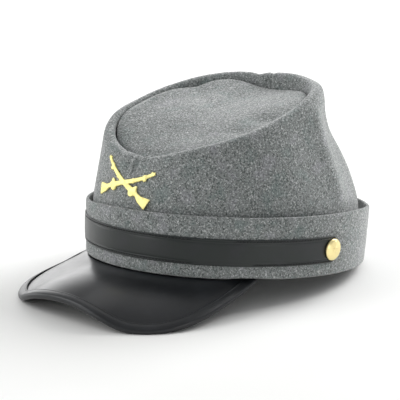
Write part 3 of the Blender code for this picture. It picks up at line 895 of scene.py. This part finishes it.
def folds(place):
    """How proud the folds make a place on the crown's side."""
    degrees = math.degrees(head_angle(place))
    proud = 0.0
    for at_foot, at_head, foot, head, half, depth in FOLDS:
        up = (place.z / MM - foot) / (head - foot)
        away = (degrees - mix(at_foot, at_head, up) + 180.0) % 360.0 - 180.0
        ends = smooth(up * (head - foot) / FOOT_FADE) * smooth((1.0 - up) * (head - foot) / HEAD_FADE)
        proud += depth * MM * ends * math.exp(-(away / half) ** 2)
    return proud


def dents(place):
    """How proud the dents and humps make a place on the crown's top."""
    proud = 0.0
    for x, y, wide, deep, depth in DENTS:
        away = ((place.x / MM - x) / wide) ** 2 + ((place.y / MM - y) / deep) ** 2
        proud += depth * MM * math.exp(-away)
    across, ahead = abs(place.x) / TOP_HALF_WIDTH, abs(place.y + TOP_FORWARD) / TOP_HALF_LENGTH
    edge = 1.0 - (across ** TOP_FULLNESS + ahead ** TOP_FULLNESS) ** (1.0 / TOP_FULLNESS)
    proud -= EDGE_GROOVE * math.exp(-(edge / EDGE_GROOVE_WIDTH) ** 2)
    degrees = math.degrees(math.atan2(place.x, -place.y - TOP_FORWARD))
    near = sector(degrees, *NEAR_SIDE, SIDE_FADE)
    far = sector(degrees, *FAR_SIDE, SIDE_FADE)
    trough = math.exp(-(edge / NEAR_TROUGH_WIDTH) ** 2)
    proud += trough * (FAR_SWELL * far - NEAR_TROUGH * near)
    return proud


class KEPI_OT_strap(bpy.types.Operator):
    """Build the leather chin strap with its edge creases"""

    bl_idname = "kepi.strap"
    bl_label = "Chin strap"

    def execute(self, context):
        end = BUTTON_ANGLE + STRAP_PAST_BUTTON / (HEAD_LENGTH / 2)
        rings = [strap_ring(mix(-end, end, step / STRAP_STEPS), end) for step in range(STRAP_STEPS + 1)]
        looks = context.scene.kepi_leather
        material = black_leather("black cowhide strap, satin rolled", looks, looks.strap_hex, 0.38, 0.05)
        new_piece("leather_chin_strap", loft("leather_chin_strap", rings), material,
                  "black_leather", "chin_strap")
        return {"FINISHED"}


def plain_share(angle, at_top):
    """How plain the strap is at an angle: 1 where it has no edge lines."""
    last = PLAIN_TO_TOP if at_top else PLAIN_TO_FOOT
    return sector(abs(math.degrees(angle)), PLAIN_FROM, last, PLAIN_FADE)


def strap_ring(angle, end):
    """The strap's outline across its width at an angle."""
    outer = CLEARANCE + STRAP_WALL - STRAP_PRESS
    near = (end - abs(angle)) * HEAD_LENGTH / 2 / STRAP_CORNER
    corner = STRAP_CORNER * (1.0 - math.sqrt(max(1.0 - (1.0 - min(near, 1.0)) ** 2, 0.0)))
    ring = []
    for at_top in (False, True):
        plain = plain_share(angle, at_top)
        for across, proud in reversed(STRAP_SECTION[:-1]) if at_top else STRAP_SECTION:
            level = proud
            if across > PLAIN_SECTION[0][0]:
                level = max(table_at(PLAIN_SECTION, across), proud)
            place = max(across * MM, corner)
            height = STRAP_FOOT + (STRAP_WIDTH - place if at_top else place)
            ring.append(band_point(angle, height, outer + mix(proud, level, plain) * MM))
    for height in (STRAP_WIDTH - STRAP_BEVEL - corner, STRAP_BEVEL + corner):
        ring.append(band_point(angle, STRAP_FOOT + height, outer - STRAP_WALL))
    return ring


class KEPI_OT_visor(bpy.types.Operator):
    """Build the leather visor and the leather rolled over its edge"""

    bl_idname = "kepi.visor"
    bl_label = "Visor and binding"

    def execute(self, context):
        looks = context.scene.kepi_leather
        peak = black_leather("black cowhide peak, lacquered", looks, looks.dark_hex, 0.30, 0.12)
        roll = black_leather("black cowhide binding, satin rolled", looks, looks.dark_hex, 0.36, 0.08)
        stations = visor_stations()
        inset = binding_half(1.0) + CLEARANCE
        rings = []
        for station in stations:
            slant = visor_frame(station)[2]
            whole = (station.root - station.edge).length * slant
            half = VISOR_WALL / 2 * station.skive
            steps = [mix(inset, whole, step / VISOR_STEPS) for step in range(VISOR_STEPS + 1)]
            ring = [visor_point(station, inward, half) for inward in steps]
            ring += [visor_point(station, inward, -half) for inward in reversed(steps)]
            rings.append(ring)
        new_piece("leather_visor", loft("leather_visor", rings), peak, "black_leather", "visor")
        rings = [[visor_point(station, inward, raised)
                  for inward, raised in binding_ring(station.skive)] for station in stations]
        new_piece("leather_binding", loft("leather_binding", rings), roll, "black_leather",
                  "visor_binding")
        return {"FINISHED"}


def binding_ring(skive):
    """The rolled strip's closed outline, as distances in from the edge and above its middle."""
    half = binding_half(skive)
    wall = BINDING_WALL * skive
    top = [(BINDING_LAP - across * MM, half + proud * MM * skive) for across, proud in BINDING_SECTION]
    puff = BINDING_PUFF * skive
    top += [(PUFF_BEGINS, half + puff * 0.6), (PUFF_IS_FULL, half + puff)]
    roll = []
    for step in range(13):
        bend = math.radians(180.0 * step / 12)
        swell = 1.0 + EDGE_SWELL * skive * math.sin(bend)
        roll.append((half * (1.0 - math.sin(bend)), (half + puff * 0.5) * math.cos(bend) * swell))
    under = [(PUFF_IS_FULL, -half - puff * 0.4), (BINDING_LAP - 0.4 * MM, -half)]
    inner = [(BINDING_LAP, -half + 0.5 * wall), (BINDING_LAP, -half + wall), (half, -half + wall)]
    core = half - wall
    for step in range(1, 6):
        bend = math.radians(180.0 - 180.0 * step / 6)
        inner.append((half - core * math.sin(bend), core * math.cos(bend)))
    inner.append((half, core))
    return top + roll + under + inner


class KEPI_OT_buttons(bpy.types.Operator):
    """Build the two domed brass buttons with a ring and a plain star"""

    bl_idname = "kepi.buttons"
    bl_label = "Side buttons"

    def execute(self, context):
        looks = context.scene.kepi_brass
        name = "gilt brass buttons, die stamped"
        material = stamped_brass(name, looks.button_hex, looks.dull_hex, 0.34)
        for side, node in ((1.0, "side_button_left"), (-1.0, "side_button_right")):
            pose = button_pose(side)
            rings = [[pose @ point for point in button_ring(row, looks.motif)]
                     for row in button_section()]
            name = "brass_" + node
            new_piece(name, loft(name, rings), material, "brass", node)
        return {"FINISHED"}


def button_pose(side):
    """Where a button sits on the strap, in the cap's axes, with its own +Z out from the band."""
    angle, step = BUTTON_ANGLE * side, math.radians(1.0)
    height = STRAP_FOOT + STRAP_WIDTH / 2
    place = band_point(angle, height, STRAP_WALL + 2 * CLEARANCE - STRAP_PRESS)
    around = band_point(angle + step, height) - band_point(angle - step, height)
    upward = band_point(angle, BAND_HEIGHT) - band_point(angle, 0.0)
    facing = around.cross(upward).normalized()
    aside = around.normalized()
    turn = Matrix((aside, facing.cross(aside), facing)).transposed().to_4x4()
    return Matrix.Translation(place) @ turn


def button_ring(row, motif):
    """A ring of points in a button's own axes, with its share of the star and the milled edge."""
    radius, raised, relief = row
    ring = []
    for number in range(BUTTON_SECTORS):
        bend = math.tau * number / BUTTON_SECTORS
        lift = raised + relief * motif * star(radius, bend)
        if MILLED_FROM < radius / (BUTTON_WIDTH / 2) < DOME_REACH:
            lift += MILLED_RISE * math.cos(bend * MILLED_TEETH)
        ring.append(Vector((radius * math.cos(bend), radius * math.sin(bend), lift)))
    return ring


def button_section():
    """Radius, height and share of the motif from the button's middle to its rim and back."""
    half = BUTTON_WIDTH / 2
    rows = []
    for step in range(BUTTON_RINGS):
        share = 0.004 + 0.996 * step / (BUTTON_RINGS - 1)
        raised = BUTTON_RIM + BUTTON_DOME * math.sqrt(max(1.0 - (share * 0.97) ** 2, 0.0))
        ring = math.exp(-((share - RING_AT) / RING_WIDTH) ** 2) * RING_RISE
        rows.append((half * DOME_REACH * share, raised + ring, 1.0 if share < STAR_WITHIN else 0.0))
    rows += [(half, BUTTON_RIM + 0.30 * MM, 0.0), (half, 0.25 * MM, 0.0), (half * 0.96, 0.0, 0.0),
             (half * 0.10, 0.0, 0.0)]
    return rows


def star(radius, bend):
    """The relief of a plain five-pointed star at a place on the button, from 0 to 1."""
    outer, inner = STAR_TIPS * BUTTON_WIDTH / 2, STAR_NOTCHES * BUTTON_WIDTH / 2
    turn = (bend - math.pi / 2) % (math.tau / 5)
    turn = min(turn, math.tau / 5 - turn)
    tip = Vector((outer, 0.0))
    notch = Vector((inner * math.cos(math.pi / 5), inner * math.sin(math.pi / 5)))
    place = Vector((radius * math.cos(turn), radius * math.sin(turn)))
    side = notch - tip
    across = (side.x * (place.y - tip.y) - side.y * (place.x - tip.x)) / side.length
    return smooth(across / (0.16 * BUTTON_WIDTH / 2) + 0.12)


class KEPI_OT_badge(bpy.types.Operator):
    """Finish the crossed rifles in stamped brass with softened edges"""

    bl_idname = "kepi.badge"
    bl_label = "Crossed rifles"

    def execute(self, context):
        looks = context.scene.kepi_brass
        name = "gilt brass badge, die stamped"
        material = stamped_brass(name, looks.badge_hex, looks.dull_hex, 0.62)
        shape = bmesh.new()
        shape.from_mesh(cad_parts["crossed_rifles_badge"].data)
        bmesh.ops.remove_doubles(shape, verts=shape.verts, dist=WELD)
        mesh = mesh_of("brass_crossed_rifles", shape)
        badge = new_piece("brass_crossed_rifles", mesh, material, "brass", "crossed_rifles_badge")
        worn = badge.modifiers.new("worn edges", "BEVEL")
        worn.width = 0.05 * MM
        worn.segments = 2
        worn.limit_method = "ANGLE"
        worn.angle_limit = math.radians(25.0)
        worn.harden_normals = True
        mesh.set_sharp_from_angle(angle=math.radians(30.0))
        return {"FINISHED"}


def stitch_rings(start, end, up, thick, sunk):
    """The rings of one stitch: a bent thread that dips into the surface at both ends."""
    along = end - start
    aside = along.cross(up).normalized()
    rings = []
    for share, rise, girth in STITCH_SECTION:
        middle = start + along * share + up * (thick / 2 * rise - sunk)
        ring = []
        for step in range(THREAD_SIDES):
            bend = math.tau * step / THREAD_SIDES
            ring.append(middle + (aside * math.cos(bend) + up * math.sin(bend)) * thick / 2 * girth)
        rings.append(ring)
    return rings


def along_path(path, run, distance):
    """The place and the way up at a distance along a path, of which run gives the length so far."""
    for index in range(len(run) - 1):
        if distance <= run[index + 1]:
            share = (distance - run[index]) / max(run[index + 1] - run[index], 1e-9)
            return (path[index][0].lerp(path[index + 1][0], share),
                    path[index][1].lerp(path[index + 1][1], share).normalized())
    return path[-1]


def sew(name, path, pitch, thick, sunk):
    """A mesh of stitches along a path of places and the ways up from them."""
    run = [0.0]
    for (start, _), (end, _) in zip(path, path[1:]):
        run.append(run[-1] + (end - start).length)
    stitches = []
    for number in range(int(run[-1] / pitch)):
        start, up = along_path(path, run, (number + STITCH_STARTS) * pitch)
        end = along_path(path, run, (number + STITCH_ENDS) * pitch)[0]
        stitches.append(stitch_rings(start, end, up, thick, sunk))
    return loft(name, *stitches)


def crown_seam_path(crown, degrees, side, foot, head):
    """Places and ways out up the crown's wool, just to one side of a seam."""
    angle = math.radians(degrees) + side * SEAM_ASIDE / SEAM_RADIUS
    steps = 30
    return [on_side(crown, angle, mix(foot, head, step / steps)) for step in range(steps + 1)]


def strap_groove_path(start, stop, at_top):
    """Places and ways out along one of the strap's two grooves, between two angles."""
    height = STRAP_FOOT + (STRAP_WIDTH - STRAP_GROOVE if at_top else STRAP_GROOVE)
    outer = CLEARANCE + STRAP_WALL - STRAP_PRESS
    steps = 60
    path = []
    for step in range(steps + 1):
        angle = mix(start, stop, step / steps)
        path.append((band_point(angle, height, outer - STITCH_SUNK), oval(angle, 1.0, 1.0)))
    return path


def binding_groove_path():
    """Places and ways up along the groove in the visor's binding."""
    path = []
    for station in visor_stations()[UNSEWN_STATIONS:-UNSEWN_STATIONS]:
        raised = binding_half(station.skive) - STITCH_SUNK * station.skive
        place = visor_point(station, BINDING_LAP - BINDING_GROOVE, raised)
        path.append((place, visor_frame(station)[1]))
    return path


class KEPI_OT_seams(bpy.types.Operator):
    """Sew the crown's seams, the strap's edges and the visor's binding"""

    bl_idname = "kepi.seams"
    bl_label = "Stitching"

    def execute(self, context):
        looks = context.scene.kepi_wool
        grey = sewing_thread("grey spun thread", looks.thread_hex, looks.fleck_hex)
        crown = surface_of(bpy.data.objects["felt_crown_side"])
        for seam, degrees, foot, head in CROWN_SEAMS:
            for side, word in ((-1.0, "right"), (1.0, "left")):
                name = f"thread_{seam}_seam_{word}"
                path = crown_seam_path(crown, degrees, side, foot, head)
                mesh = sew(name, path, SEAM_STITCH, SEAM_THREAD, 0.05 * MM)
                new_piece(name, mesh, grey, "wool_felt")
        looks = context.scene.kepi_leather
        # The black thread is partly its own black and partly painted shade: its near-black colour stands
        # in for the shadow in the strap's and the binding's stitched grooves.
        black = sewing_thread("black waxed thread", looks.thread_hex, looks.fleck_hex)
        end = BUTTON_ANGLE - UNSEWN_BY_BUTTON / (HEAD_LENGTH / 2)
        first = math.radians(PLAIN_FROM)
        for at_top, word in ((False, "foot"), (True, "top")):
            last = math.radians(PLAIN_TO_TOP if at_top else PLAIN_TO_FOOT)
            stretches = ((-end, -last, "right"), (-first, first, "front"), (last, end, "left"))
            for start, stop, part in stretches:
                name = f"thread_strap_{word}_{part}"
                path = strap_groove_path(start, stop, at_top)
                mesh = sew(name, path, looks.stitch, STRAP_THREAD, -0.05 * MM)
                new_piece(name, mesh, black, "black_leather")
        mesh = sew("thread_binding", binding_groove_path(), looks.stitch, BINDING_THREAD, -0.02 * MM)
        new_piece("thread_binding", mesh, black, "black_leather")
        return {"FINISHED"}


class KEPI_OT_stage(bpy.types.Operator):
    """Set the floor, the soft lights and the camera"""

    bl_idname = "kepi.stage"
    bl_label = "Stage"

    def execute(self, context):
        scene = context.scene
        add_floor(scene, scene.kepi_stage)
        add_air(scene, scene.kepi_stage)
        for row in SOFTBOXES:
            add_softbox(*row)
        scene.view_settings.view_transform = "Standard"
        add_camera(scene, scene.kepi_stage)
        return {"FINISHED"}


def add_floor(scene, looks):
    """A round painted floor just under the cap."""
    shape = bmesh.new()
    bmesh.ops.create_circle(shape, cap_ends=True, segments=96, radius=FLOOR_RADIUS)
    mesh = mesh_of("studio_floor", shape)
    mesh.materials.append(painted_floor(looks))
    floor = bpy.data.objects.new("studio_floor", mesh)
    floor.location.z = -FLOOR_DROP
    scene.collection.objects.link(floor)


def add_air(scene, looks):
    """Even pale light from all round."""
    world = bpy.data.worlds.new("studio_air")
    scene.world = world
    world.use_nodes = True
    air = world.node_tree.nodes["Background"]
    air.inputs["Color"].default_value = linear(looks.air_hex)
    air.inputs["Strength"].default_value = AIR_STRENGTH


def add_camera(scene, looks):
    """The camera, at its angle round the cap and above the floor, turned about its own axis."""
    camera = bpy.data.objects.new("camera", bpy.data.cameras.new("camera"))
    scene.collection.objects.link(camera)
    back = direction(looks.azimuth, looks.elevation)
    camera.location = CAMERA_TARGET + back * looks.distance
    turn = Matrix.Rotation(looks.roll, 3, "Z").to_quaternion()
    camera.rotation_mode = "QUATERNION"
    camera.rotation_quaternion = (-back).to_track_quat("-Z", "Y") @ turn
    camera.data.lens = looks.lens
    camera.data.sensor_width = 36.0
    camera.data.clip_start = 0.01
    camera.data.clip_end = 50.0
    scene.camera = camera


def direction(azimuth, elevation):
    """The way out from the cap at an angle round it and an angle above the floor."""
    return Vector((
        math.sin(azimuth) * math.cos(elevation),
        -math.cos(azimuth) * math.cos(elevation),
        math.sin(elevation),
    ))


def add_softbox(name, azimuth, elevation, away, size, power):
    """A square soft light that faces the cap and stays out of every view."""
    lamp = bpy.data.lights.new(name, "AREA")
    lamp.energy = power
    lamp.size = size
    out = direction(math.radians(azimuth), math.radians(elevation))
    light = bpy.data.objects.new(name, lamp)
    bpy.context.scene.collection.objects.link(light)
    light.location = LIGHTS_AIM + out * away
    light.visible_camera = False
    light.rotation_euler = (-out).to_track_quat("-Z", "Y").to_euler()


PIECES = (KEPI_OT_wool, KEPI_OT_strap, KEPI_OT_visor, KEPI_OT_buttons, KEPI_OT_badge, KEPI_OT_seams,
          KEPI_OT_stage)
SETTINGS = {"kepi_wool": KepiWool, "kepi_leather": KepiLeather, "kepi_brass": KepiBrass,
            "kepi_stage": KepiStage}


class KEPI_PT_looks(bpy.types.Panel):
    """Lists the cap's settings and its pieces"""

    bl_idname = "KEPI_PT_looks"
    bl_label = "Kepi"
    bl_space_type = "VIEW_3D"
    bl_region_type = "UI"
    bl_category = "Kepi"

    def draw(self, context):
        for name, group in SETTINGS.items():
            box = self.layout.box()
            for setting in group.__annotations__:
                box.prop(getattr(context.scene, name), setting)
        for piece in PIECES:
            self.layout.operator(piece.bl_idname)


def register():
    """Add the settings, the operators and the panel."""
    for group in SETTINGS.values():
        bpy.utils.register_class(group)
    for name, group in SETTINGS.items():
        setattr(bpy.types.Scene, name, bpy.props.PointerProperty(type=group))
    for piece in PIECES:
        bpy.utils.register_class(piece)
    bpy.utils.register_class(KEPI_PT_looks)


def unregister():
    """Take the panel, the operators and the settings away again."""
    bpy.utils.unregister_class(KEPI_PT_looks)
    for piece in reversed(PIECES):
        bpy.utils.unregister_class(piece)
    for name in SETTINGS:
        delattr(bpy.types.Scene, name)
    for group in reversed(list(SETTINGS.values())):
        bpy.utils.unregister_class(group)


def main():
    """Build every piece and the stage."""
    register()
    bpy.ops.kepi.wool()
    bpy.ops.kepi.strap()
    bpy.ops.kepi.visor()
    bpy.ops.kepi.buttons()
    bpy.ops.kepi.badge()
    bpy.ops.kepi.seams()
    bpy.ops.kepi.stage()


if __name__ == "__main__":
    main()
